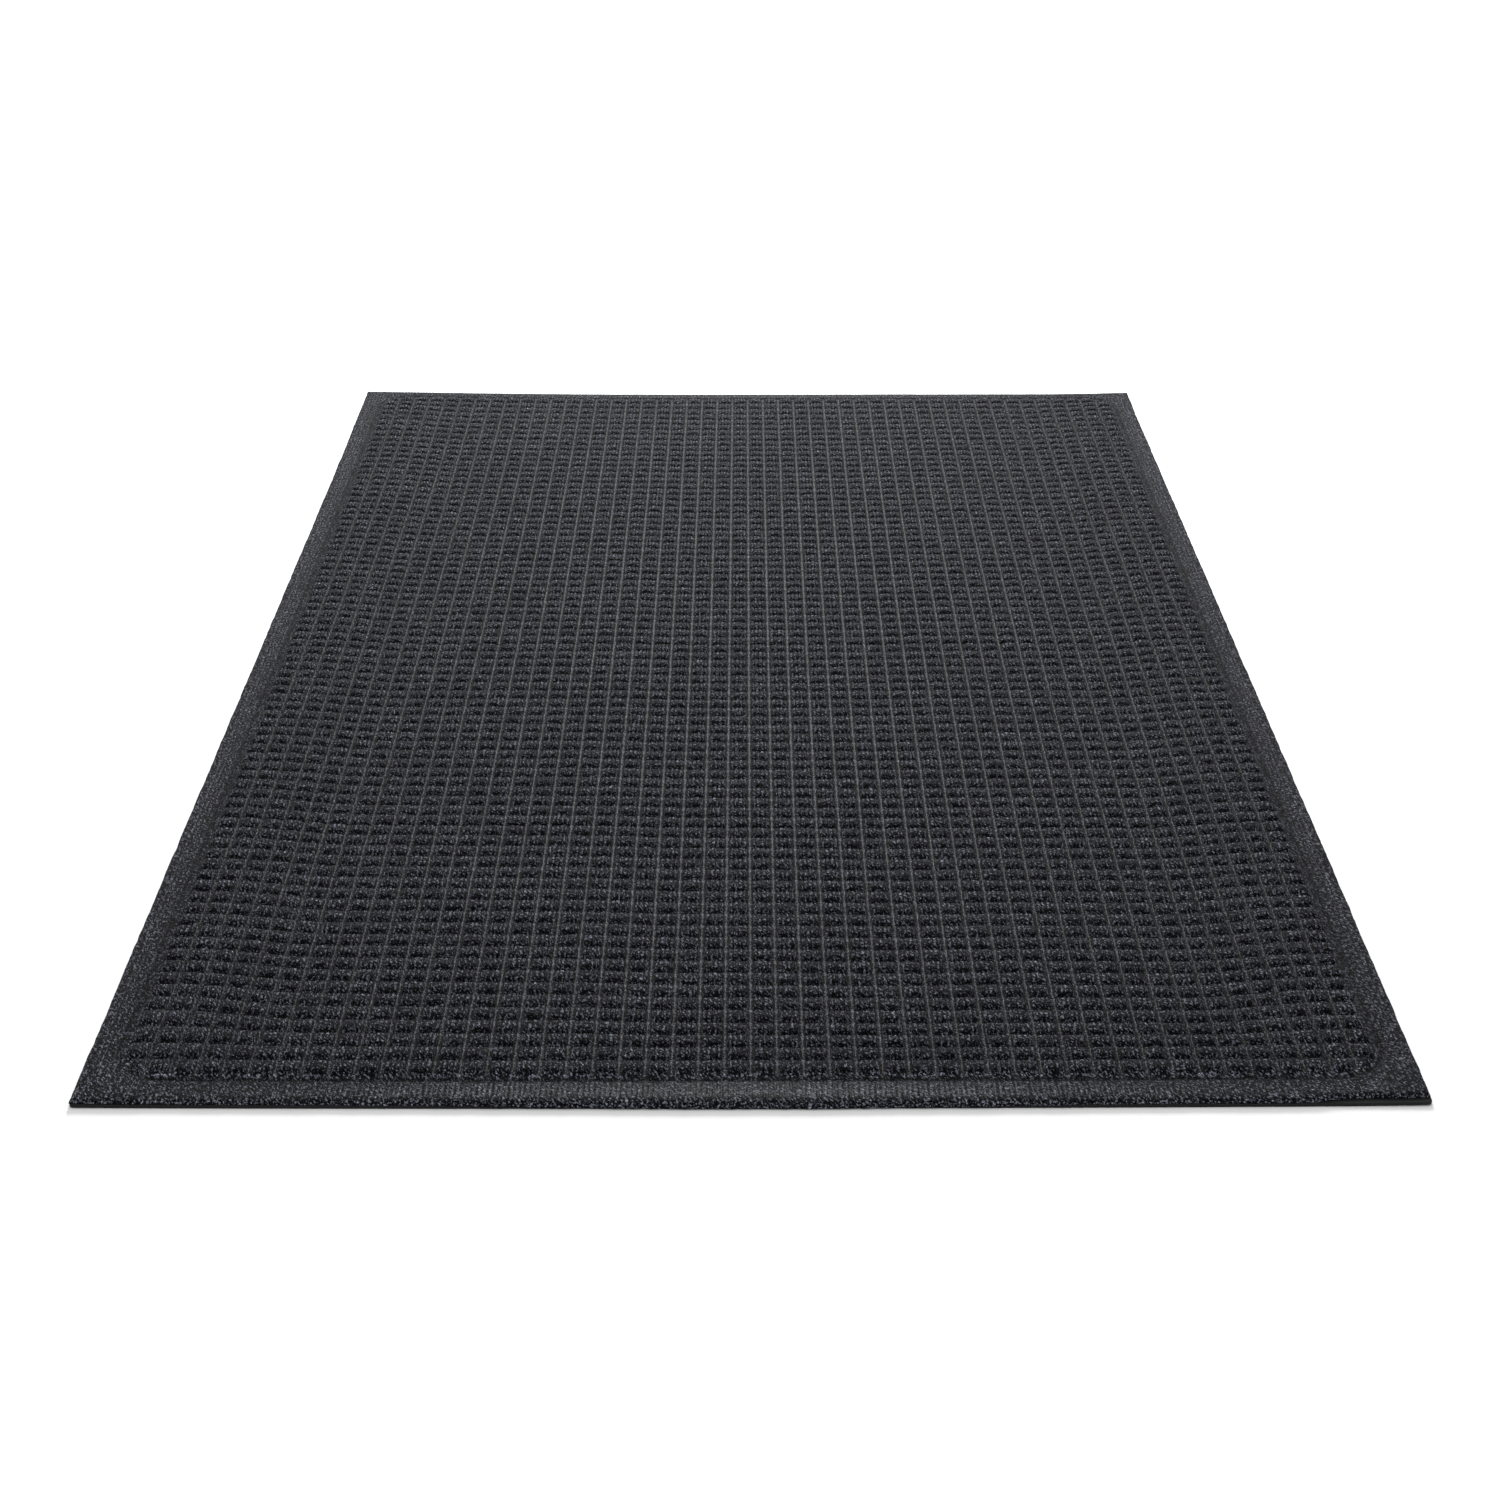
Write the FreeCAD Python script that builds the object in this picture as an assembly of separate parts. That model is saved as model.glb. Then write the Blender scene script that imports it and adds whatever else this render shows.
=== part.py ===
import FreeCAD, Part
import os

# Entrance door mat: a ribbed fibre sheet, pressed into rows of raised blocks inside a flat
# border, on a moulded rubber sheet. Millimetres. The origin is the centre of the underside,
# X runs across the mat, Y runs along it with the front edge at -Y, and Z is up.

# Driving dimensions
WIDTH = 914.4
LENGTH = 1524.0
RUBBER_THICKNESS = 2.4
COAT_THICKNESS = 0.3
PRESSED_FIBRE = 2.1
BLOCK_RISE = 4.5
CORE_RISE = 3.4

# The waffle: rows of blocks across the mat, in a field with rounded corners
ROW_PITCH = 17.7
ROWS = 83
COLUMN_PITCH = 18.0
COLUMNS = 48
CHANNEL_WIDTH = 3.6
FIELD_CORNER_RADIUS = 32.0
ROW_DRAFT = 1.2
CORE_LENGTH = 8.6
CORE_DRAFT = 0.5
CORE_SIDE_WALL = 3.0

# The border: a shallow groove round the field, a rolled fibre edge and a narrow rubber lip
GROOVE_START = 3.6
GROOVE_WIDTH = 4.0
GROOVE_DEPTH = 0.8
FIBRE_EDGE_ROLL = 1.2
LIP_WIDTH = 2.5
LIP_BEVEL = 0.8
MAT_CORNER_RADIUS = 3.0

# Worked out from the above
FIELD_WIDTH = COLUMNS * COLUMN_PITCH - CHANNEL_WIDTH
FIELD_LENGTH = ROWS * ROW_PITCH - CHANNEL_WIDTH
ROW_LENGTH = ROW_PITCH - CHANNEL_WIDTH
COAT_TOP = RUBBER_THICKNESS + COAT_THICKNESS
BORDER_TOP = COAT_TOP + PRESSED_FIBRE
OVERSIZE = 10.0


def rounded_plate(width, length, radius, low, high):
    """A flat plate with rounded plan corners, centred on the origin, from low to high."""
    x, y, r = width / 2, length / 2, radius
    diagonal = r * (1 - 0.5 ** 0.5)
    corners = [(1, -1), (1, 1), (-1, 1), (-1, -1)]
    edges = []
    previous = None
    first = None
    for i, (sx, sy) in enumerate(corners):
        on_side = FreeCAD.Vector(sx * x, sy * (y - r), low)
        on_end = FreeCAD.Vector(sx * (x - r), sy * y, low)
        middle = FreeCAD.Vector(sx * (x - diagonal), sy * (y - diagonal), low)
        start, end = (on_end, on_side) if i % 2 == 0 else (on_side, on_end)
        if previous is not None:
            edges.append(Part.LineSegment(previous, start).toShape())
        edges.append(Part.Arc(start, middle, end).toShape())
        first = first or start
        previous = end
    edges.append(Part.LineSegment(previous, first).toShape())
    face = Part.Face(Part.Wire(edges))
    return face.extrude(FreeCAD.Vector(0, 0, high - low))


def rows(foot, top, foot_length, draft, width):
    """A comb of crosswise bars with sloped sides, one for each row of blocks."""
    start = -(ROWS - 1) / 2 * ROW_PITCH
    edge = ROWS * ROW_PITCH / 2
    points = [(-edge, 0), (-edge, foot)]
    for i in range(ROWS):
        centre = start + i * ROW_PITCH
        half = foot_length / 2
        points.append((centre - half, foot))
        points.append((centre - half + draft, top))
        points.append((centre + half - draft, top))
        points.append((centre + half, foot))
    points += [(edge, foot), (edge, 0), (-edge, 0)]
    outline = [FreeCAD.Vector(-width / 2, y, z) for y, z in points]
    face = Part.Face(Part.makePolygon(outline))
    return face.extrude(FreeCAD.Vector(width, 0, 0))


def rows_in_field(inset, foot, top, foot_length, draft):
    """The comb of bars, trimmed to the field's rounded outline less an inset."""
    width = FIELD_WIDTH - 2 * inset
    length = FIELD_LENGTH - 2 * inset
    radius = FIELD_CORNER_RADIUS - inset
    field = rounded_plate(width, length, radius, 0, top + OVERSIZE)
    return rows(foot, top, foot_length, draft, WIDTH).common(field)


def top_outline(solid, height):
    """The edges of a solid that lie at one height."""
    return [e for e in solid.Edges
            if abs(e.BoundBox.ZMin - height) < 1e-6 and abs(e.BoundBox.ZMax - height) < 1e-6]


def rubber_layer():
    """The rubber sheet with its bevelled rim and the cores that hold the rows of blocks up."""
    sheet = rounded_plate(WIDTH, LENGTH, MAT_CORNER_RADIUS, 0, RUBBER_THICKNESS)
    sheet = sheet.makeChamfer(LIP_BEVEL, top_outline(sheet, RUBBER_THICKNESS))
    core_top = RUBBER_THICKNESS + CORE_RISE
    cores = rows_in_field(CORE_SIDE_WALL, RUBBER_THICKNESS, core_top, CORE_LENGTH, CORE_DRAFT)
    return sheet.fuse(cores).removeSplitter()


def coat_envelope():
    """Everything up to the top of the latex coat, which follows the rubber."""
    plan = (WIDTH - 2 * LIP_WIDTH, LENGTH - 2 * LIP_WIDTH)
    sheet = rounded_plate(*plan, MAT_CORNER_RADIUS, 0, COAT_TOP)
    bumps = rows_in_field(CORE_SIDE_WALL - COAT_THICKNESS, COAT_TOP, COAT_TOP + CORE_RISE,
                          CORE_LENGTH + 2 * COAT_THICKNESS, CORE_DRAFT)
    return sheet.fuse(bumps).removeSplitter()


def groove():
    """The ring that is pressed into the border, just outside the field."""
    rings = []
    for offset in (GROOVE_START, GROOVE_START + GROOVE_WIDTH):
        width = FIELD_WIDTH + 2 * offset
        length = FIELD_LENGTH + 2 * offset
        radius = FIELD_CORNER_RADIUS + offset
        bottom = BORDER_TOP - GROOVE_DEPTH
        rings.append(rounded_plate(width, length, radius, bottom, BORDER_TOP + OVERSIZE))
    return rings[1].cut(rings[0])


def carpet_envelope():
    """Everything up to the top of the fibre: a border with a groove, and rows of blocks."""
    plan = (WIDTH - 2 * LIP_WIDTH, LENGTH - 2 * LIP_WIDTH)
    border = rounded_plate(*plan, MAT_CORNER_RADIUS, 0, BORDER_TOP)
    border = border.makeChamfer(FIBRE_EDGE_ROLL, top_outline(border, BORDER_TOP))
    border = border.cut(groove())
    raised = rows_in_field(0, BORDER_TOP, BORDER_TOP + BLOCK_RISE, ROW_LENGTH, ROW_DRAFT)
    return border.fuse(raised).removeSplitter()


def save(name, shape):
    """Write one sub-part and print what it measures."""
    shape.exportStep(os.path.join("parts", name + ".step"))
    box = shape.BoundBox
    sides = f"{box.XLength:.1f} x {box.YLength:.1f} x {box.ZLength:.2f} mm"
    print(name, sides, "solids", len(shape.Solids), "valid", shape.isValid())


def main():
    """Build the three layers from the floor up and write each to its own file."""
    os.makedirs("parts", exist_ok=True)
    rubber = rubber_layer()
    coat = coat_envelope()
    save("rubber_backing", rubber)
    save("latex_coat", coat.cut(rubber))
    save("carpet_face", carpet_envelope().cut(coat))


main()
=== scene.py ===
"""Scene of a ribbed entrance mat: a pressed fibre face and a latex coat on a moulded rubber sheet.

Every length is in metres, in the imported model's own frame: X across the mat, Y along it with the
front edge at -Y, Z up, and the origin at the centre of the underside.
"""

import logging
import math
from dataclasses import dataclass
from enum import Enum

import bmesh
import bpy
import numpy as np
from mathutils import Matrix, Vector


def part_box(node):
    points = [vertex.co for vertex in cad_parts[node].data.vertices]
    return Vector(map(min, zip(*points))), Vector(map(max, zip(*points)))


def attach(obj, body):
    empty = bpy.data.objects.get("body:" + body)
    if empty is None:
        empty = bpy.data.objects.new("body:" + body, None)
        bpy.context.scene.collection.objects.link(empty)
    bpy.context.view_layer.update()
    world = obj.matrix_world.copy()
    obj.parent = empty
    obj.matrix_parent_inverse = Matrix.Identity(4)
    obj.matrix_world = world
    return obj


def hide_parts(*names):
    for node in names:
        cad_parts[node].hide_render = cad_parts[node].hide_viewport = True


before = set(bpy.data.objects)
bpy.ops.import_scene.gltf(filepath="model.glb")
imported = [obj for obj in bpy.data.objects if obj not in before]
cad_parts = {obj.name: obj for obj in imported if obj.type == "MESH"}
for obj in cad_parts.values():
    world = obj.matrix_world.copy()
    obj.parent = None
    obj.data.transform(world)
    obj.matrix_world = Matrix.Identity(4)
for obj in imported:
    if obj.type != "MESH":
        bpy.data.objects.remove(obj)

log = logging.getLogger("door_mat")
MM = 0.001

# How near two lengths are when they count as the same
HAIR = 1e-9
NEAR_LEVEL = 1e-7
CUT_SLACK = 1e-6
STEP_SLACK = 1e-3

ROOT_BODY = "root"
FACE_UP = Vector((0.0, 0.0, 1.0))


# ---------------------------------------------------------------------------------------------
# Small tools
# ---------------------------------------------------------------------------------------------


def smoothstep(value: np.ndarray) -> np.ndarray:
    """Ease from 0 to 1 while value goes from 0 to 1.

    Args:
        value: the numbers to ease.

    Returns:
        The eased numbers, 0 below the range and 1 above it.
    """
    held = np.clip(value, 0.0, 1.0)
    return held * held * (3.0 - 2.0 * held)


@dataclass(frozen=True)
class Unevenness:
    """Smooth seeded noise on a square lattice, for hand-scale irregularities."""

    cell: float
    seed: int

    LATTICE = 64

    def at(self, x: np.ndarray, y: np.ndarray) -> np.ndarray:
        """Read the noise.

        Args:
            x: places across the mat.
            y: places along the mat.

        Returns:
            Noise from -1 to 1 at each place.
        """
        lattice = np.random.default_rng(self.seed).uniform(-1.0, 1.0, (self.LATTICE, self.LATTICE))
        across, along = x / self.cell, y / self.cell
        column, row = np.floor(across).astype(int), np.floor(along).astype(int)
        s, t = smoothstep(across - column), smoothstep(along - row)
        n = self.LATTICE
        near = lattice[row % n, column % n] * (1 - s) + lattice[row % n, (column + 1) % n] * s
        far = (lattice[(row + 1) % n, column % n] * (1 - s)
               + lattice[(row + 1) % n, (column + 1) % n] * s)
        return near * (1 - t) + far * t


def new_piece(name: str, bm: bmesh.types.BMesh) -> bpy.types.Object:
    """Turn a bmesh into an object of the scene.

    Args:
        name: the piece's name.
        bm: its mesh, which is freed.

    Returns:
        The new object, at the origin.
    """
    mesh = bpy.data.meshes.new(name)
    bm.to_mesh(mesh)
    bm.free()
    piece = bpy.data.objects.new(name, mesh)
    bpy.context.scene.collection.objects.link(piece)
    return piece


def points_of(mesh: bpy.types.Mesh) -> np.ndarray:
    """Read a mesh's points as an array of rows."""
    flat = np.empty(len(mesh.vertices) * 3)
    mesh.vertices.foreach_get("co", flat)
    return flat.reshape(-1, 3)


def place_points(mesh: bpy.types.Mesh, points: np.ndarray) -> None:
    """Write a mesh's points from an array of rows."""
    mesh.vertices.foreach_set("co", points.ravel())
    mesh.update()


def add_value(mesh: bpy.types.Mesh, name: str, values: np.ndarray) -> None:
    """Store a number at each point of a mesh, for its material to read.

    Args:
        mesh: the mesh.
        name: the attribute's name.
        values: one number for each point.
    """
    layer = mesh.attributes.new(name, "FLOAT", "POINT")
    layer.data.foreach_set("value", values.astype(np.float32))


def finish_shading(mesh: bpy.types.Mesh, crease: float) -> None:
    """Shade a mesh smooth, with sharp edges where it turns by more than crease."""
    mesh.shade_smooth()
    mesh.set_sharp_from_angle(angle=crease)


# ---------------------------------------------------------------------------------------------
# How the mat is made and how it lies
# ---------------------------------------------------------------------------------------------


@dataclass(frozen=True)
class MatSize:
    """The whole mat's outline and the thickness of the layers under the fibre."""

    width: float
    length: float
    rubber: float = 2.4 * MM
    coat: float = 0.3 * MM
    corner_radius: float = 3.0 * MM

    @property
    def coat_top(self) -> float:
        """Height of the latex coat's upper side."""
        return self.rubber + self.coat

    @classmethod
    def from_frame(cls) -> "MatSize":
        """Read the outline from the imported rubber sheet."""
        low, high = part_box("rubber_backing")
        return cls(width=high[0] - low[0], length=high[1] - low[1])


@dataclass(frozen=True)
class Curl:
    """One corner of the mat that stands a little off the floor."""

    side: int
    end: int
    height: float
    reach: float


@dataclass(frozen=True)
class Lay:
    """How the mat lies: corners that curl and a body that isn't quite flat."""

    size: MatSize
    curls: tuple[Curl, ...] = (
        Curl(side=-1, end=1, height=4.4 * MM, reach=400 * MM),
        Curl(side=1, end=1, height=1.7 * MM, reach=130 * MM),
        Curl(side=1, end=-1, height=0.8 * MM, reach=90 * MM),
        Curl(side=-1, end=-1, height=0.4 * MM, reach=80 * MM),
    )
    wave: float = 0.35 * MM
    wave_cell: float = 170 * MM
    front_bulge: float = 2.0 * MM
    front_growth: float = 3.0 * MM
    bulge_reach: float = 160 * MM

    def lift(self, x: np.ndarray, y: np.ndarray) -> np.ndarray:
        """Work out how far the underside stands off the floor.

        Args:
            x: places across the mat.
            y: places along the mat.

        Returns:
            The lift at each place, never below the floor.
        """
        total = self.wave * (0.5 + 0.5 * Unevenness(self.wave_cell, seed=11).at(x, y))
        for curl in self.curls:
            from_side = self.size.width / 2 - curl.side * x
            from_end = self.size.length / 2 - curl.end * y
            near = np.clip(1 - np.hypot(from_side, from_end) / curl.reach, 0.0, 1.0)
            total = total + curl.height * near ** 2
        return total

    def bulge(self, x: np.ndarray, y: np.ndarray) -> np.ndarray:
        """Work out how far the front edge stands out along the mat, most of all in its middle.

        Args:
            x: places across the mat.
            y: places along the mat.

        Returns:
            The shift along the mat at each place.
        """
        near = smoothstep(1 - (y + self.size.length / 2) / self.bulge_reach)
        bow = self.front_bulge * (1 - (2 * x / self.size.width) ** 2)
        return -near * (self.front_growth + bow)


@dataclass(frozen=True)
class RowDrag:
    """How far the rows lie from even ones: forward in the middle, back at the sides."""

    middle: float = -7.5 * MM
    middle_until: float = 540 * MM
    middle_run: float = 200 * MM
    belly: float = -2.6 * MM
    belly_at: float = 310 * MM
    belly_spread: float = 130 * MM
    sides: float = 12.0 * MM
    sides_from: float = 312 * MM
    sides_run: float = 100 * MM
    left: float = 3.0 * MM
    left_from: float = 60 * MM
    left_run: float = 60 * MM
    right: float = 2.2 * MM
    right_from: float = 100 * MM
    right_run: float = 90 * MM
    skew: float = 0.011
    skew_from: float = 120 * MM
    skew_run: float = 240 * MM
    end_fade: float = 85 * MM

    def at(self, x: np.ndarray, y: np.ndarray) -> np.ndarray:
        """Work out the drag.

        Args:
            x: places across the mat.
            y: places along the mat.

        Returns:
            The rows' shift along the mat at each place.
        """
        inside = 1 - smoothstep((np.abs(y) - self.middle_until) / self.middle_run)
        belly = np.exp(-((y - self.belly_at) / self.belly_spread) ** 2)
        ends = self.middle * inside + self.belly * belly
        sides = self.sides * smoothstep((np.abs(x) - self.sides_from) / self.sides_run)
        left = self.left * smoothstep((-x - self.left_from) / self.left_run)
        right = self.right * smoothstep((x - self.right_from) / self.right_run)
        skew = -self.skew * x * smoothstep((-y - self.skew_from) / self.skew_run)
        return ends + sides + left + right + skew


@dataclass(frozen=True)
class Waffle:
    """The pattern that the press leaves in the fibre: ribs, blocks, channels and border."""

    rows: int = 83
    row_pitch: float = 17.7 * MM
    columns: int = 48
    column_pitch: float = 18.0 * MM
    ribs_per_column: int = 5
    block_rise: float = 4.5 * MM
    rib_depth: float = 1.35 * MM
    floor: float = 2.0 * MM
    floor_rib: float = 0.16 * MM
    channel_half: float = 0.9 * MM
    wall_run: float = 2.6 * MM
    crown_run: float = 8.2 * MM
    corner_radius: float = 34 * MM
    dip_at: float = 5.0 * MM
    dip_spread: float = 1.9 * MM
    dip_depth: float = 1.0 * MM
    border_rib: float = 0.36 * MM
    end_shift: float = 5.5 * MM
    end_reach: float = 75 * MM
    edge_roll: float = 1.3 * MM
    edge_taper: float = 4.8 * MM
    edge_drop: float = 0.7 * MM
    edge_least: float = 0.15
    border_lift: float = 0.15 * MM
    border_crown: float = 0.9 * MM
    border_crown_from: float = 10 * MM
    border_crown_run: float = 15 * MM
    unevenness: float = 0.45 * MM
    unevenness_cell: float = 17 * MM
    rib_power: float = 0.6
    wall_power: float = 1.15
    drag: RowDrag = RowDrag()

    @property
    def rib_pitch(self) -> float:
        """Distance from one lengthwise rib to the next."""
        return self.column_pitch / self.ribs_per_column

    @property
    def half_width(self) -> float:
        """Half the field's width, to the middle of the channel round it."""
        return self.columns * self.column_pitch / 2

    @property
    def half_length(self) -> float:
        """Half the field's length, to the middle of the channel round it."""
        return self.rows * self.row_pitch / 2

    def channel_lines(self) -> np.ndarray:
        """Places along the mat where a crosswise channel runs."""
        return (np.arange(self.rows + 1) - self.rows / 2) * self.row_pitch

    def outside_field(self, x: np.ndarray, y: np.ndarray) -> np.ndarray:
        """Measure the distance out of the field's rounded outline.

        Args:
            x: places across the mat.
            y: places along the mat.

        Returns:
            The distance, below 0 inside the field.
        """
        over_x = np.abs(x) - (self.half_width - self.corner_radius)
        over_y = np.abs(y) - (self.half_length - self.corner_radius)
        outer = np.hypot(np.maximum(over_x, 0.0), np.maximum(over_y, 0.0))
        inner = np.minimum(np.maximum(over_x, over_y), 0.0)
        return outer + inner - self.corner_radius

    def shift_of_ends(self, y: np.ndarray, half_length: float) -> np.ndarray:
        """How far back the field's two ends sit from the middle of the mat's ends.

        Args:
            y: places along the mat.
            half_length: half the sheet's length.

        Returns:
            The shift along the mat, greatest where the field ends and 0 at the rim.
        """
        in_border = smoothstep((half_length - np.abs(y)) / (half_length - self.half_length))
        in_field = 1 - smoothstep((self.half_length - np.abs(y)) / self.end_reach)
        return self.end_shift * np.where(np.abs(y) > self.half_length, in_border, in_field)

    def rib(self, x: np.ndarray) -> np.ndarray:
        """Shape of the lengthwise ribs: 1 on a crest and 0 in a valley."""
        return np.abs(np.cos(math.pi * x / self.rib_pitch)) ** self.rib_power

    def lane_wall(self, x: np.ndarray) -> np.ndarray:
        """Shape of the walls beside the lengthwise channels: 0 on a channel's floor, then 1."""
        return self.wall(np.abs(x - np.round(x / self.column_pitch) * self.column_pitch))

    def block(self, x: np.ndarray, y: np.ndarray, along: np.ndarray) -> np.ndarray:
        """Shape of the blocks: 0 in the channels and border, 1 on a block's crown.

        Args:
            x: places across the mat.
            y: places along the mat.
            along: the same places along the undragged rows.

        Returns:
            The shape at each place.
        """
        shifted = along / self.row_pitch + self.rows / 2
        from_row = np.abs(shifted - np.round(shifted)) * self.row_pitch
        row = 1 - np.clip(1 - from_row / self.crown_run, 0.0, 1.0) ** 2
        return np.minimum(self.lane_wall(x) * row, self.wall(-self.outside_field(x, y)))

    def wall(self, distance: np.ndarray) -> np.ndarray:
        """Shape of a block's side wall: 0 up to the channel's half width, then straight up to 1."""
        return np.clip((distance - self.channel_half) / self.wall_run, 0.0, 1.0) ** self.wall_power


@dataclass(frozen=True)
class Zones:
    """Which part of the pattern each place is in.

    All are numbers from 0 to 1, except outside and from_rim, which are distances.
    """

    block: np.ndarray
    rib: np.ndarray
    border: np.ndarray
    dip: np.ndarray
    lane: np.ndarray
    roll: np.ndarray
    outside: np.ndarray
    from_rim: np.ndarray


@dataclass(frozen=True)
class PressAndPaintedLight:
    """How flat and shiny the press leaves each part of the fibre, and the painted light and shade worked
    into its colour.
    """

    half_length: float
    ironed_least: float = 0.35
    ironed_run: float = 18 * MM
    ironed_share: float = 0.50
    lane_share: float = 0.60
    # Painted shade in the dip, which also dulls its gloss
    dip_dull_and_shade: float = 0.8
    dip_painted_shade: float = 0.6
    # A painted light falloff from the front to the back
    light_fall_to_back: float = 0.38
    # Painted shade at the rolled rim
    rim_shade_least: float = 0.6
    # Relief values off the block crowns: painted shade in the channel floors, lanes and border
    flat: float = 0.20
    flat_rib: float = 0.32
    flat_lane: float = 0.10
    border_flat: float = 0.02
    border_rib: float = 0.14
    # A painted light line in the channel just behind the front border
    front_channel_light: float = 0.75
    front_channel_light_at: float = 0.9 * MM
    front_channel_light_spread: float = 1.7 * MM
    front_channel_light_from: float = 705 * MM
    front_channel_light_run: float = 25 * MM
    # Painted shade at the rolled rim
    rim_relief_shade: float = 0.8
    # Painted light on the front rim
    front_rim_light: float = 0.40
    front_rim_light_run: float = 5 * MM

    def pressed_and_sheen(self, y: np.ndarray, zones: Zones, dip_at: float) -> np.ndarray:
        """Work out how far the fibre is flattened, from 0 to 1, with painted light and shade folded in.

        Args:
            y: places along the mat.
            zones: which part of the pattern each place is in.
            dip_at: how far the dip lies outside the field.

        Returns:
            The value at each place, which lightens the fibre's colour as painted sheen: lower toward the
            back as a painted light falloff, and lower in the dip and at the rim as painted shade.
        """
        out = smoothstep((zones.outside - dip_at) / self.ironed_run)
        ironed_and_sheen = zones.border * (self.ironed_least + (1 - self.ironed_least) * out)
        # press: a painted light falloff toward the back, and painted shade in the dip
        press = (1 - self.light_fall_to_back * y / self.half_length) * (1 - self.dip_dull_and_shade * zones.dip)
        held = np.clip((self.ironed_share * ironed_and_sheen + self.lane_share * zones.lane) * press, 0, 1)
        # Lower at the rolled rim: painted shade
        return held * (self.rim_shade_least + (1 - self.rim_shade_least) * zones.roll)

    def relief(self, y: np.ndarray, zones: Zones) -> np.ndarray:
        """Work out the painted shade and light that the fibre's own relief stands for in its colour.

        Args:
            y: places along the mat.
            zones: which part of the pattern each place is in.

        Returns:
            The relief value at each place: painted shade, low in a valley, the dip and at the rim, and
                painted light, high on a crest, beside the front row and on the front rim.
        """
        # Painted shade off the block crowns, less on rib crests
        flat = self.flat + self.flat_rib * zones.rib - self.flat_lane * zones.lane
        flat = flat + (self.border_rib * zones.rib + self.border_flat) * zones.border
        # Painted light in the channel just inside the front border, lifting the last row's shadow
        front_channel_light = np.exp(-((zones.outside - self.front_channel_light_at) / self.front_channel_light_spread) ** 2)
        front_channel_light = front_channel_light * smoothstep((-y - self.front_channel_light_from) / self.front_channel_light_run)
        relief = zones.block * zones.rib + (1 - zones.block) * (flat + self.front_channel_light * front_channel_light)
        # Painted shade in the dip
        relief = relief * (1 - self.dip_painted_shade * zones.dip)
        # Painted light on the front rim, fading over its first few millimetres
        front_rim_light = self.front_rim_light * (1 - (y + self.half_length) / self.front_rim_light_run).clip(0, 1)
        # Painted shade at the rolled rim, with the painted front-rim light on top
        return relief * (self.rim_relief_shade + (1 - self.rim_relief_shade) * zones.roll) + front_rim_light


class Layer(Enum):
    """The mat's layers, each with its node and its material slot."""

    FACE = ("carpet_face", "face_fibre")
    COAT = ("latex_coat", "latex")
    RUBBER = ("rubber_backing", "backing_rubber")

    @property
    def node(self) -> str:
        """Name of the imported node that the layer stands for."""
        return self.value[0]

    @property
    def slot(self) -> str:
        """Name of the record's material slot."""
        return self.value[1]

    def dress(self, piece: bpy.types.Object, material: bpy.types.Material) -> None:
        """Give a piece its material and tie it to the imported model.

        Args:
            piece: the piece of this layer.
            material: what it is made of.
        """
        piece.data.materials.clear()
        piece.data.materials.append(material)
        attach(piece, ROOT_BODY)
        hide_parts(self.node)


# ---------------------------------------------------------------------------------------------
# Finishes
# ---------------------------------------------------------------------------------------------


Socket = bpy.types.NodeSocket


class NodeSheet:
    """Lays out the nodes of a material or a group in short calls."""

    def __init__(self, tree: bpy.types.NodeTree) -> None:
        """Start on an empty tree."""
        self.tree = tree
        self.tree.nodes.clear()

    def add(self, kind: str, **settings: object) -> bpy.types.Node:
        """Add a node and set its properties."""
        node = self.tree.nodes.new(kind)
        for name, value in settings.items():
            setattr(node, name, value)
        return node

    def join(self, source: Socket, target: Socket) -> None:
        """Link an output to an input."""
        self.tree.links.new(source, target)

    def feed(self, target: Socket, source: Socket | float) -> None:
        """Link an output to an input, or set a plain number on it."""
        if isinstance(source, (int, float)):
            target.default_value = source
        else:
            self.join(source, target)

    def maths(self, operation: str, a: Socket | float, b: Socket | float) -> Socket:
        """Work out a number from two others."""
        node = self.add("ShaderNodeMath", operation=operation)
        self.feed(node.inputs[0], a)
        self.feed(node.inputs[1], b)
        return node.outputs[0]

    def span(self, value: Socket, low: float, high: float, to_low: float, to_high: float) -> Socket:
        """Map a number from one range to another, held at its ends."""
        node = self.add("ShaderNodeMapRange", clamp=True)
        self.join(value, node.inputs["Value"])
        node.inputs["From Min"].default_value = low
        node.inputs["From Max"].default_value = high
        node.inputs["To Min"].default_value = to_low
        node.inputs["To Max"].default_value = to_high
        return node.outputs["Result"]

    def stretched(self, turn: float, scale: tuple[float, float, float]) -> Socket:
        """Object coordinates, turned about Z and stretched."""
        place = self.add("ShaderNodeTexCoord").outputs["Object"]
        mapping = self.add("ShaderNodeMapping", vector_type="TEXTURE")
        mapping.inputs["Rotation"].default_value = (0.0, 0.0, turn)
        mapping.inputs["Scale"].default_value = scale
        self.join(place, mapping.inputs["Vector"])
        return mapping.outputs["Vector"]

    def noise(self, place: Socket, detail: float, rough: float, twist: float) -> Socket:
        """Cloudy noise about 0.5, with cells one unit of its coordinates wide."""
        node = self.add("ShaderNodeTexNoise")
        self.join(place, node.inputs["Vector"])
        node.inputs["Scale"].default_value = 1.0
        node.inputs["Detail"].default_value = detail
        node.inputs["Roughness"].default_value = rough
        node.inputs["Distortion"].default_value = twist
        return node.outputs["Fac"]

    def blend(self, share: Socket | float, a: Socket | tuple, b: Socket | tuple,
              blend_type: str = "MIX") -> Socket:
        """Mix two colours."""
        node = self.add("ShaderNodeMix", data_type="RGBA", blend_type=blend_type)
        self.feed(node.inputs["Factor"], share)
        for socket, colour in ((node.inputs[6], a), (node.inputs[7], b)):
            if isinstance(colour, tuple):
                socket.default_value = (*colour, 1.0)
            else:
                self.join(colour, socket)
        return node.outputs[2]


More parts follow.
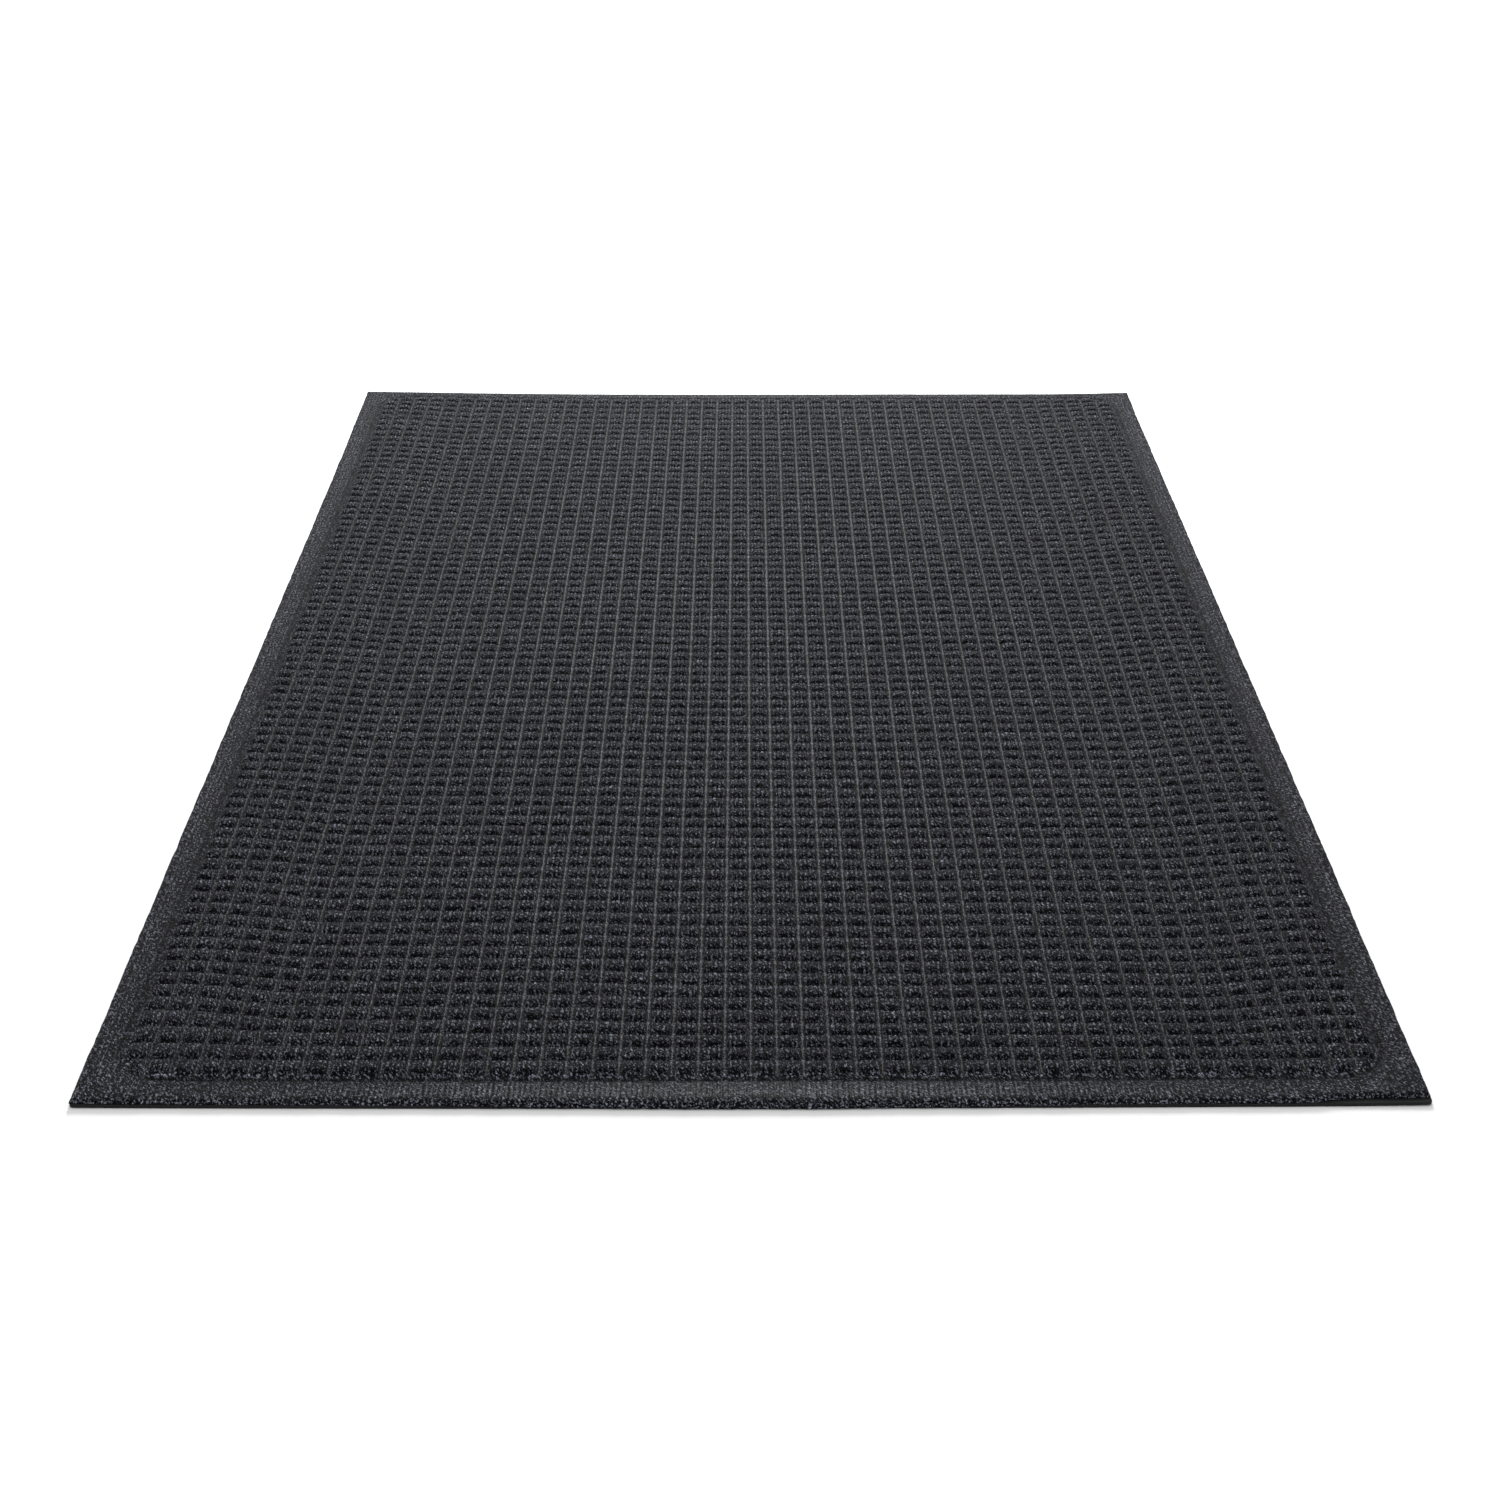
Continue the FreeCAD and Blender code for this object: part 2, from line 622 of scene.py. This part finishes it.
def new_group(name: str, titles: tuple[str, ...]) -> bpy.types.NodeTree:
    """Start a shader node group that gives out named numbers.

    Args:
        name: the group's name.
        titles: what each number is called.

    Returns:
        The group, with no nodes.
    """
    group = bpy.data.node_groups.new(name, "ShaderNodeTree")
    for title in titles:
        group.interface.new_socket(title, in_out="OUTPUT", socket_type="NodeSocketFloat")
    return group


@dataclass(frozen=True)
class Heather:
    """Crossing lays of dark and light fibres over a mottled ground, as a group."""

    fleck_width: float = 1.35 * MM
    fleck_length: float = 3.2 * MM
    lay_angle: float = math.radians(27)
    grain: float = 1.25 * MM
    blotch: float = 30 * MM
    swing: float = 0.16

    def group(self) -> bpy.types.NodeTree:
        """Build the group once and hand it out after that.

        Returns:
            A group that gives masks of light flecks, dark flecks, grain and slow blotches.
        """
        name = "fibre_heather"
        if name in bpy.data.node_groups:
            return bpy.data.node_groups[name]
        tree = new_group(name, ("Light", "Dark", "Grain", "Blotch"))
        sheet = NodeSheet(tree)
        leave = sheet.add("NodeGroupOutput")
        fleck = (self.fleck_width, self.fleck_length, self.fleck_width)
        lays = {"Light": sheet.stretched(self.lay_angle, fleck),
                "Dark": sheet.stretched(-self.lay_angle, fleck),
                "Grain": sheet.stretched(0.0, (self.grain,) * 3)}
        for title, place in lays.items():
            cloud = sheet.noise(place, detail=1.5, rough=0.6, twist=0.3)
            centred = sheet.maths("SUBTRACT", cloud, 0.5)
            sheet.join(sheet.span(centred, -self.swing, self.swing, 0.0, 1.0), leave.inputs[title])
        even = sheet.stretched(0.0, (self.blotch,) * 3)
        sheet.join(sheet.noise(even, detail=3.0, rough=0.55, twist=0.4), leave.inputs["Blotch"])
        return tree


@dataclass(frozen=True)
class Finish:
    """A named material with one Principled shader."""

    name: str

    def start(self) -> tuple[NodeSheet, bpy.types.Material, bpy.types.Node]:
        """Make the material, its shader and its output.

        Returns:
            The sheet of nodes, the material and the Principled shader.
        """
        material = bpy.data.materials.new(self.name)
        material.use_nodes = True
        sheet = NodeSheet(material.node_tree)
        shader = sheet.add("ShaderNodeBsdfPrincipled")
        out = sheet.add("ShaderNodeOutputMaterial")
        sheet.join(shader.outputs["BSDF"], out.inputs["Surface"])
        return sheet, material, shader

    @staticmethod
    def bump(sheet: NodeSheet, shader: bpy.types.Node, height: Socket, strength: float,
             distance: float) -> None:
        """Add a fine relief to a shader's normal."""
        node = sheet.add("ShaderNodeBump")
        node.inputs["Strength"].default_value = strength
        node.inputs["Distance"].default_value = distance
        sheet.join(height, node.inputs["Height"])
        sheet.join(node.outputs["Normal"], shader.inputs["Normal"])


@dataclass(frozen=True)
class FaceFibre(Finish):
    """Charcoal needled fibre, heathered, shinier where the press flattened it and lighter there: partly
    the flattened fibre's own tone, partly painted sheen.
    """

    name: str = "charcoal_needled_fibre"
    dark: tuple[float, float, float] = (0.0009, 0.0010, 0.0013)
    middle: tuple[float, float, float] = (0.0034, 0.0036, 0.0047)
    light: tuple[float, float, float] = (0.114, 0.119, 0.146)
    # Lighter tint where the fibre is flattened: partly its own tone, partly painted sheen
    pressed_sheen_tint: tuple[float, float, float] = (0.0070, 0.0073, 0.0090)
    pressed_sheen_share: float = 0.6
    # How the relief values scale the colour: painted shade and painted light
    relief_power: float = 1.6
    dark_span: tuple[float, float, float, float] = (0.42, 0.90, 0.0, 0.92)
    light_span: tuple[float, float, float, float] = (0.51, 0.95, 0.0, 1.0)
    relief_span: tuple[float, float, float, float] = (0.0, 0.9, 0.24, 1.46)
    blotch_span: tuple[float, float, float, float] = (0.3, 0.7, 0.84, 1.16)
    grain_span: tuple[float, float, float, float] = (0.0, 1.0, 0.05, 1.95)
    shine_span: tuple[float, float, float, float] = (0.0, 1.0, 0.004, 0.050)
    coat_roughness: float = 0.22
    roughness: float = 0.8
    gloss: float = 0.03
    sheen: float = 0.02
    sheen_roughness: float = 0.3
    bump_strength: float = 0.8
    bump_height: float = 0.7 * MM

    def material(self) -> bpy.types.Material:
        """Build the material.

        Returns:
            A material that reads the points' flattening and relief values, with painted sheen, light and
            shade in its colour.
        """
        sheet, material, shader = self.start()
        heather = sheet.add("ShaderNodeGroup", node_tree=Heather().group())
        light, dark = heather.outputs["Light"], heather.outputs["Dark"]
        grain = heather.outputs["Grain"]
        pressed_and_sheen = sheet.add("ShaderNodeAttribute", attribute_name="pressed_and_sheen").outputs["Fac"]
        relief = sheet.add("ShaderNodeAttribute", attribute_name="relief").outputs["Fac"]
        # The lighter tint where the fibre is flattened: partly its own tone, partly painted sheen
        ironed_and_sheen = sheet.maths("MULTIPLY", pressed_and_sheen, self.pressed_sheen_share)
        ground = sheet.blend(ironed_and_sheen, self.middle, self.pressed_sheen_tint)
        dulled = sheet.blend(sheet.span(dark, *self.dark_span), ground, self.dark)
        flecked = sheet.blend(sheet.span(light, *self.light_span), dulled, self.light)
        # Painted shade and light from the relief values, times random mottling
        raised = sheet.maths("POWER", relief, self.relief_power)
        shade = sheet.maths("MULTIPLY", sheet.span(raised, *self.relief_span),
                            sheet.span(heather.outputs["Blotch"], *self.blotch_span))
        speckled = sheet.maths("MULTIPLY", shade, sheet.span(grain, *self.grain_span))
        grey = sheet.add("ShaderNodeCombineColor")
        for socket in grey.inputs[:3]:
            sheet.join(speckled, socket)
        sheet.join(sheet.blend(1.0, flecked, grey.outputs["Color"], "MULTIPLY"),
                   shader.inputs["Base Color"])
        shiny = sheet.maths("MULTIPLY", pressed_and_sheen, sheet.span(grain, *self.shine_span))
        sheet.join(shiny, shader.inputs["Coat Weight"])
        shader.inputs["Coat Roughness"].default_value = self.coat_roughness
        shader.inputs["Roughness"].default_value = self.roughness
        shader.inputs["Specular IOR Level"].default_value = self.gloss
        shader.inputs["Sheen Weight"].default_value = self.sheen
        shader.inputs["Sheen Roughness"].default_value = self.sheen_roughness
        self.bump(sheet, shader, grain, strength=self.bump_strength, distance=self.bump_height)
        return material


@dataclass(frozen=True)
class MouldedRubber(Finish):
    """Black moulded rubber with a fine matt texture and a little dust."""

    name: str = "moulded_black_rubber"
    black: tuple[float, float, float] = (0.0045, 0.0047, 0.0050)
    dusty: tuple[float, float, float] = (0.014, 0.014, 0.0145)
    grain: float = 0.8 * MM
    dust: float = 14 * MM
    dust_turn: float = 0.4
    dust_span: tuple[float, float, float, float] = (0.45, 0.75, 0.0, 0.7)
    rough_span: tuple[float, float, float, float] = (0.3, 0.7, 0.55, 0.72)
    gloss: float = 0.22

    def material(self) -> bpy.types.Material:
        """Build the material."""
        sheet, material, shader = self.start()
        grain = sheet.noise(sheet.stretched(0.0, (self.grain,) * 3), detail=4.0, rough=0.6, twist=0.0)
        dust = sheet.noise(sheet.stretched(self.dust_turn, (self.dust,) * 3), detail=5.0, rough=0.65,
                           twist=0.5)
        powder = sheet.maths("MULTIPLY", sheet.span(dust, *self.dust_span), grain)
        sheet.join(sheet.blend(powder, self.black, self.dusty), shader.inputs["Base Color"])
        sheet.join(sheet.span(grain, *self.rough_span), shader.inputs["Roughness"])
        shader.inputs["Specular IOR Level"].default_value = self.gloss
        self.bump(sheet, shader, grain, strength=0.35, distance=0.15 * MM)
        return material


@dataclass(frozen=True)
class DriedLatex(Finish):
    """A dull cream film, thicker in some places than in others."""

    name: str = "dried_latex"
    cream: tuple[float, float, float] = (0.52, 0.49, 0.40)
    thin: tuple[float, float, float] = (0.30, 0.28, 0.24)
    blotch: float = 22 * MM
    blotch_turn: float = 0.2
    thick_span: tuple[float, float, float, float] = (0.35, 0.65, 0.0, 1.0)
    rough_span: tuple[float, float, float, float] = (0.35, 0.65, 0.75, 0.5)

    def material(self) -> bpy.types.Material:
        """Build the material."""
        sheet, material, shader = self.start()
        cloud = sheet.noise(sheet.stretched(self.blotch_turn, (self.blotch,) * 3), detail=5.0, rough=0.6,
                            twist=0.8)
        sheet.join(sheet.blend(sheet.span(cloud, *self.thick_span), self.thin, self.cream),
                   shader.inputs["Base Color"])
        sheet.join(sheet.span(cloud, *self.rough_span), shader.inputs["Roughness"])
        self.bump(sheet, shader, cloud, strength=0.3, distance=0.2 * MM)
        return material


# ---------------------------------------------------------------------------------------------
# The layers
# ---------------------------------------------------------------------------------------------


@dataclass
class FibreFace:
    """The ribbed fibre sheet, made as runs one behind the other that meet in crosswise channels."""

    size: MatSize
    lay: Lay
    waffle: Waffle
    runs: int = 4
    lip: float = 0.5 * MM
    side_lip: float = 0.1 * MM
    bare_lip: float = 5.0 * MM
    bare_from: float = 375 * MM
    overhang: float = 2.0 * MM
    overhang_drop: float = 2.3 * MM
    overhang_half: float = 190 * MM
    droop_run: float = 1.2 * MM
    bare_run: float = 28 * MM
    fray_fine: float = 0.35 * MM
    fray_fine_cell: float = 4.5 * MM
    fray_slow: float = 0.30 * MM
    fray_slow_cell: float = 19 * MM
    side_fade: float = 5 * MM
    end_fade: float = 9 * MM
    lane_dip: float = 0.8
    rib_crown: float = 0.9 * MM
    underside_cell: int = 24
    jitter: float = 0.10 * MM
    least_rough: float = 0.35
    crease: float = math.radians(80)

    SCATTER_STEPS = 1e5
    SCATTER_PRIME = 7919
    SCATTER_TURN = 12.9898
    ROW_LINES = (0.0, 2.2 * MM, 4.6 * MM, 13.1 * MM, 15.5 * MM)
    RIM_LINES = (0.0, 0.4 * MM, 1.0 * MM, 2.0 * MM)
    BORDER_LINES = (4.5 * MM, 8.5 * MM, 12.5 * MM, 16.5 * MM, 19.5 * MM, 21.5 * MM, 23.0 * MM, 24.5 * MM)

    @property
    def half_width(self) -> float:
        """Half the sheet's width."""
        return self.size.width / 2 - self.side_lip

    @property
    def half_length(self) -> float:
        """Half the sheet's length."""
        return self.size.length / 2 - self.lip

    def lines_across(self) -> np.ndarray:
        """Places of the mesh's lengthwise lines: two on each rib's crown and one in each valley."""
        pitch = self.waffle.rib_pitch
        ribs = int(self.half_width // pitch)
        crests = np.arange(-ribs, ribs + 1) * pitch
        lines = np.concatenate([crests - self.rib_crown, crests + self.rib_crown, crests + pitch / 2])
        rim = self.half_width - np.array(self.RIM_LINES)
        inner = lines[np.abs(lines) < rim.min() - self.rib_crown / 2]
        return np.sort(np.concatenate([inner, rim, -rim]))

    def lines_along(self) -> np.ndarray:
        """Places of the mesh's crosswise lines, closer together where the shape turns."""
        channels = self.waffle.channel_lines()
        field = (channels[:-1, None] + np.array(self.ROW_LINES)).ravel()
        border = self.half_length - np.array(self.RIM_LINES + self.BORDER_LINES)
        return np.sort(np.concatenate([field, channels[-1:], border, -border]))

    def set_back(self, x: np.ndarray, y: np.ndarray) -> tuple[np.ndarray, np.ndarray]:
        """Trim the sheet's rim a little unevenly, and further back at its front right corner.

        Args:
            x: places across the mat.
            y: places along the mat.

        Returns:
            How far each place moves across and along.
        """
        fray = self.fray_fine * Unevenness(self.fray_fine_cell, seed=3).at(x, y)
        fray = fray + self.fray_slow * Unevenness(self.fray_slow_cell, seed=4).at(x, y)
        side = smoothstep((np.abs(x) - self.half_width + self.side_fade) / self.side_fade)
        end = smoothstep((np.abs(y) - self.half_length + self.end_fade) / self.end_fade)
        bare = (self.bare_lip - self.lip) * smoothstep((x - self.bare_from) / self.bare_run)
        over = self.overhang * np.exp(-(x / self.overhang_half) ** 2)
        front = np.where(y < 0, bare - over, 0.0)
        return -np.sign(x) * side * fray, -np.sign(y) * end * (fray + front)

    def droop(self, x: np.ndarray, y: np.ndarray) -> np.ndarray:
        """How far the rim hangs down where the fibre overhangs the middle of the front edge.

        Args:
            x: places across the mat.
            y: places along the mat.

        Returns:
            The drop of the rim, 0 away from it.
        """
        near = 1 - smoothstep((y + self.half_length) / self.droop_run)
        return self.overhang_drop * near * np.exp(-(x / self.overhang_half) ** 2)

    def zones(self, x: np.ndarray, y: np.ndarray, along: np.ndarray) -> Zones:
        """Find which part of the pattern each place is in.

        Args:
            x: places across the mat.
            y: places along the mat.
            along: the same places along the undragged rows.

        Returns:
            The parts of the pattern.
        """
        w = self.waffle
        outside = w.outside_field(x, y)
        border = smoothstep((outside - w.dip_at) / (2 * w.dip_spread))
        dip = np.exp(-((outside - w.dip_at) / w.dip_spread) ** 2)
        from_rim = np.minimum(self.half_width - np.abs(x), self.half_length - np.abs(y))
        roll = np.sqrt(np.clip(1 - (1 - from_rim / w.edge_roll).clip(0, 1) ** 2, 0.0, 1.0))
        lane = (1 - w.lane_wall(x)) * (1 - border) * (1 - self.lane_dip * dip)
        return Zones(block=w.block(x, y, along), rib=w.rib(x), border=border, dip=dip, lane=lane,
                     roll=roll, outside=outside, from_rim=from_rim)

    def height(self, x: np.ndarray, y: np.ndarray, zones: Zones) -> np.ndarray:
        """Work out the height of the sheet's upper side above the coat.

        Args:
            x: places across the mat.
            y: places along the mat.
            zones: which part of the pattern each place is in.

        Returns:
            The height at each place.
        """
        w, block, rib, border = self.waffle, zones.block, zones.rib, zones.border
        near_rim = (1 - zones.from_rim / w.edge_taper).clip(0, 1)
        taper = near_rim ** 2 * (w.edge_drop + w.border_crown)
        crown = w.border_crown * smoothstep((zones.outside - w.border_crown_from) / w.border_crown_run)
        floor_rib = w.floor_rib + (w.border_rib - w.floor_rib) * border
        height = w.floor + block * (w.block_rise - w.rib_depth * (1 - rib))
        height = height + (1 - block) * floor_rib * rib
        height = height + w.border_lift * border + crown - w.dip_depth * zones.dip - taper
        height = height + block * w.unevenness * Unevenness(w.unevenness_cell, seed=5).at(x, y)
        return height * (w.edge_least + (1 - w.edge_least) * zones.roll)

    def roughness(self, x: np.ndarray, y: np.ndarray) -> np.ndarray:
        """Give each point a small height of its own, the same wherever two runs meet.

        Args:
            x: places across the mat.
            y: places along the mat.

        Returns:
            The height at each place, above or below 0.
        """
        column = np.round(x * self.SCATTER_STEPS).astype(int)
        row = np.round(y * self.SCATTER_STEPS).astype(int)
        key = column * self.SCATTER_PRIME + row
        return np.sin(key * self.SCATTER_TURN) * self.jitter

    def template(self, across: int, along: int) -> bmesh.types.BMesh:
        """Make a closed slab in steps of one, with a fine top and a coarse underside.

        Args:
            across: how many faces wide the top is.
            along: how many faces long the top is.

        Returns:
            The slab, with its top at height 1 and its underside at 0.
        """
        bm = bmesh.new()
        bmesh.ops.create_grid(bm, x_segments=across, y_segments=along, size=0.5)
        middle = Vector((0.5, 0.5, 0.0))
        bmesh.ops.translate(bm, verts=bm.verts, vec=middle)
        bmesh.ops.scale(bm, verts=bm.verts, vec=(across, along, 1.0))
        bmesh.ops.translate(bm, verts=bm.verts, vec=FACE_UP)
        rim = [edge for edge in bm.edges if edge.is_boundary]
        skirt = bmesh.ops.extrude_edge_only(bm, edges=rim)["geom"]
        low = [part for part in skirt if isinstance(part, bmesh.types.BMVert)]
        bmesh.ops.translate(bm, verts=low, vec=-FACE_UP)
        loop = [part for part in skirt if isinstance(part, bmesh.types.BMEdge) and part.is_boundary]
        first = len(bm.faces)
        bmesh.ops.contextual_create(bm, geom=loop)
        cuts = [(Vector((i, 0, 0)), Vector((1, 0, 0))) for i in self.cell_lines(across)]
        cuts += [(Vector((0, j, 0)), Vector((0, 1, 0))) for j in self.cell_lines(along)]
        for place, normal in cuts:
            bm.faces.ensure_lookup_table()
            under = bm.faces[first:]
            parts = {part for face in under for part in (face, *face.edges, *face.verts)}
            bmesh.ops.bisect_plane(bm, geom=list(parts), dist=STEP_SLACK, plane_co=place, plane_no=normal)
        bmesh.ops.recalc_face_normals(bm, faces=bm.faces)
        return bm

    def cell_lines(self, count: int) -> range:
        """Steps at which the underside is cut into cells."""
        return range(self.underside_cell, count, self.underside_cell)

    def place(self, mesh: bpy.types.Mesh, across: np.ndarray, along: np.ndarray) -> None:
        """Carry a template from its steps to its place on the mat.

        Args:
            mesh: the template's mesh.
            across: where each step across goes.
            along: where each step along goes.
        """
        steps = points_of(mesh)
        x = np.interp(steps[:, 0], np.arange(len(across)), across)
        y = np.interp(steps[:, 1], np.arange(len(along)), along)
        top = steps[:, 2] > 0.5
        drag = self.waffle.drag
        inside = smoothstep((self.waffle.half_length - np.abs(y)) / drag.end_fade)
        dragged = y + drag.at(x, y) * inside
        zones = self.zones(x, dragged, y)
        press_and_light = PressAndPaintedLight(self.half_length)
        pressed_and_sheen = press_and_light.pressed_and_sheen(dragged, zones, self.waffle.dip_at)
        height, droop = self.height(x, dragged, zones), self.droop(x, dragged)
        y = dragged + self.waffle.shift_of_ends(dragged, self.half_length)
        shift_x, shift_y = self.set_back(x, y)
        rough = self.roughness(x, y) * pressed_and_sheen.clip(self.least_rough, 1)
        above = np.where(top, height + rough, 0.0)
        z = self.size.coat_top + above + self.lay.lift(x, y) - droop
        bulge = self.lay.bulge(x, y)
        place_points(mesh, np.column_stack([x + shift_x, y + shift_y + bulge, z]))
        # Flattening with painted sheen, a painted light falloff and painted shade, and the relief values'
        # painted shade and light, for the material to read
        add_value(mesh, "pressed_and_sheen", np.where(top, pressed_and_sheen, 0.0))
        add_value(mesh, "relief", np.where(top, press_and_light.relief(dragged, zones), 0.0))

    def build(self) -> None:
        """Build the sheet's runs from the front edge to the back edge."""
        across, along = self.lines_across(), self.lines_along()
        channels = self.waffle.channel_lines()
        splits = [channels[round(i * self.waffle.rows / self.runs)] for i in range(1, self.runs)]
        bounds = [along[0], *splits, along[-1]]
        material = FaceFibre().material()
        for i, (start, end) in enumerate(zip(bounds, bounds[1:])):
            lines = along[(along >= start - HAIR) & (along <= end + HAIR)]
            bm = self.template(len(across) - 1, len(lines) - 1)
            piece = new_piece(f"carpet_face_{i + 1}", bm)
            self.place(piece.data, across, lines)
            finish_shading(piece.data, self.crease)
            Layer.FACE.dress(piece, material)
            log.info("%s: %d faces", piece.name, len(piece.data.polygons))


@dataclass
class FlatSheet:
    """A plain sheet with rounded plan corners that follows the mat's lay."""

    lay: Lay
    width: float
    length: float
    low: float
    high: float
    corner_radius: float
    rim_bevel: float = 0.0
    cell: float = 24 * MM
    crease: float = math.radians(30)
    corner_segments: int = 6
    rim_segments: int = 3

    def build(self, name: str) -> bpy.types.Object:
        """Build the sheet.

        Args:
            name: the piece's name.

        Returns:
            The sheet, with no material.
        """
        bm = bmesh.new()
        bmesh.ops.create_cube(bm, size=1.0)
        sides = (self.width, self.length, self.high - self.low)
        bmesh.ops.scale(bm, verts=bm.verts, vec=sides)
        middle = Vector((0.0, 0.0, (self.low + self.high) / 2))
        bmesh.ops.translate(bm, verts=bm.verts, vec=middle)
        upright = [e for e in bm.edges if abs(e.verts[0].co.z - e.verts[1].co.z) > CUT_SLACK]
        bmesh.ops.bevel(bm, geom=upright, offset=self.corner_radius,
                        segments=self.corner_segments, profile=0.5, affect="EDGES", material=-1)
        if self.rim_bevel:
            rim = [e for e in bm.edges if all(v.co.z > self.high - NEAR_LEVEL for v in e.verts)]
            bmesh.ops.bevel(bm, geom=rim, offset=self.rim_bevel,
                            segments=self.rim_segments, profile=0.5, affect="EDGES", material=-1)
        self.divide(bm)
        bmesh.ops.recalc_face_normals(bm, faces=bm.faces)
        piece = new_piece(name, bm)
        points = points_of(piece.data)
        points[:, 2] += self.lay.lift(points[:, 0], points[:, 1])
        points[:, 1] += self.lay.bulge(points[:, 0], points[:, 1])
        place_points(piece.data, points)
        finish_shading(piece.data, self.crease)
        return piece

    def divide(self, bm: bmesh.types.BMesh) -> None:
        """Cut the sheet into cells, so that it can follow the lay."""
        for axis, side in ((0, self.width), (1, self.length)):
            normal = Vector((axis == 0, axis == 1, 0))
            count = round(side / self.cell)
            for i in range(1, count):
                place = normal * (side * (i / count - 0.5))
                geom = [*bm.verts, *bm.edges, *bm.faces]
                bmesh.ops.bisect_plane(bm, geom=geom, dist=CUT_SLACK, plane_co=place, plane_no=normal)


@dataclass
class Backing:
    """The rubber sheet, and the latex coat that keys the fibre to it."""

    size: MatSize
    lay: Lay
    coat_inset: float = 8 * MM
    rim_bevel: float = 0.6 * MM

    def build(self) -> None:
        """Build the rubber sheet and the coat."""
        rubber = FlatSheet(self.lay, self.size.width, self.size.length, 0.0, self.size.rubber,
                           self.size.corner_radius, self.rim_bevel).build("rubber_backing_sheet")
        Layer.RUBBER.dress(rubber, MouldedRubber().material())
        width = self.size.width - 2 * self.coat_inset
        length = self.size.length - 2 * self.coat_inset
        coat = FlatSheet(self.lay, width, length, self.size.rubber, self.size.coat_top,
                         self.size.corner_radius).build("latex_coat_film")
        Layer.COAT.dress(coat, DriedLatex().material())
        for piece in (rubber, coat):
            log.info("%s: %d faces", piece.name, len(piece.data.polygons))


# ---------------------------------------------------------------------------------------------
# The stage
# ---------------------------------------------------------------------------------------------


@dataclass(frozen=True)
class Viewpoint:
    """Where the camera stands and how it looks."""

    place: tuple[float, float, float] = (-0.0037, -2.2176, 0.9658)
    tilt: float = math.radians(25.73)
    pan: float = math.radians(-0.124)
    roll: float = math.radians(-0.026)
    lens: float = 61.86
    sensor: float = 36.0
    nearest: float = 0.01
    farthest: float = 60.0

    def build(self) -> None:
        """Make the camera and put it to use."""
        data = bpy.data.cameras.new("camera")
        data.lens = self.lens
        data.sensor_width = self.sensor
        data.clip_start = self.nearest
        data.clip_end = self.farthest
        camera = bpy.data.objects.new("camera", data)
        level = Matrix.Rotation(math.pi / 2 - self.tilt, 4, "X")
        turned = Matrix.Rotation(self.pan, 4, "Z") @ level @ Matrix.Rotation(self.roll, 4, "Z")
        camera.matrix_world = Matrix.Translation(self.place) @ turned
        bpy.context.scene.collection.objects.link(camera)
        bpy.context.scene.camera = camera


@dataclass(frozen=True)
class SoftLamp:
    """A rectangular lamp that faces a point on the mat."""

    name: str
    place: tuple[float, float, float]
    aim: tuple[float, float, float]
    width: float
    height: float
    power: float

    def build(self) -> None:
        """Make the lamp."""
        data = bpy.data.lights.new(self.name, "AREA")
        data.shape = "RECTANGLE"
        data.size = self.width
        data.size_y = self.height
        data.energy = self.power
        lamp = bpy.data.objects.new(self.name, data)
        lamp.location = self.place
        direction = Vector(self.aim) - Vector(self.place)
        lamp.rotation_euler = direction.to_track_quat("-Z", "Y").to_euler()
        bpy.context.scene.collection.objects.link(lamp)


@dataclass(frozen=True)
class Studio:
    """A white floor, an even white surround and a tall soft lamp behind the mat."""

    floor_half: float = 12.0
    floor_drop: float = 0.1 * MM
    floor_grey: float = 0.9
    surround: float = 0.84

    def floor(self) -> None:
        """Make the floor."""
        bm = bmesh.new()
        bmesh.ops.create_grid(bm, x_segments=1, y_segments=1, size=self.floor_half)
        bmesh.ops.translate(bm, verts=bm.verts, vec=-FACE_UP * self.floor_drop)
        floor = new_piece("studio_floor", bm)
        material = bpy.data.materials.new("studio_white")
        material.use_nodes = True
        shader = material.node_tree.nodes["Principled BSDF"]
        shader.inputs["Base Color"].default_value = (*(self.floor_grey,) * 3, 1.0)
        shader.inputs["Roughness"].default_value = 1.0
        shader.inputs["Specular IOR Level"].default_value = 0.0
        floor.data.materials.append(material)

    def surround_light(self) -> None:
        """Light everything evenly from all round."""
        world = bpy.data.worlds.new("studio_surround")
        world.use_nodes = True
        back = world.node_tree.nodes["Background"]
        back.inputs["Color"].default_value = (1.0, 1.0, 1.0, 1.0)
        back.inputs["Strength"].default_value = self.surround
        bpy.context.scene.world = world

    def build(self) -> None:
        """Set the stage, its lamps and the picture's tone."""
        self.floor()
        self.surround_light()
        SoftLamp("back_lamp", place=(0.0, 3.9, 2.0), aim=(0.0, 0.0, 0.0), width=1.0, height=2.3,
                 power=340.0).build()
        bpy.context.scene.view_settings.view_transform = "Standard"


def main() -> None:
    """Build the stage and the mat from the floor up."""
    logging.basicConfig(level=logging.INFO, format="%(name)s %(message)s")
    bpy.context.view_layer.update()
    Viewpoint().build()
    Studio().build()
    size = MatSize.from_frame()
    lay = Lay(size)
    Backing(size, lay).build()
    FibreFace(size, lay, Waffle()).build()


if __name__ == "__main__":
    main()
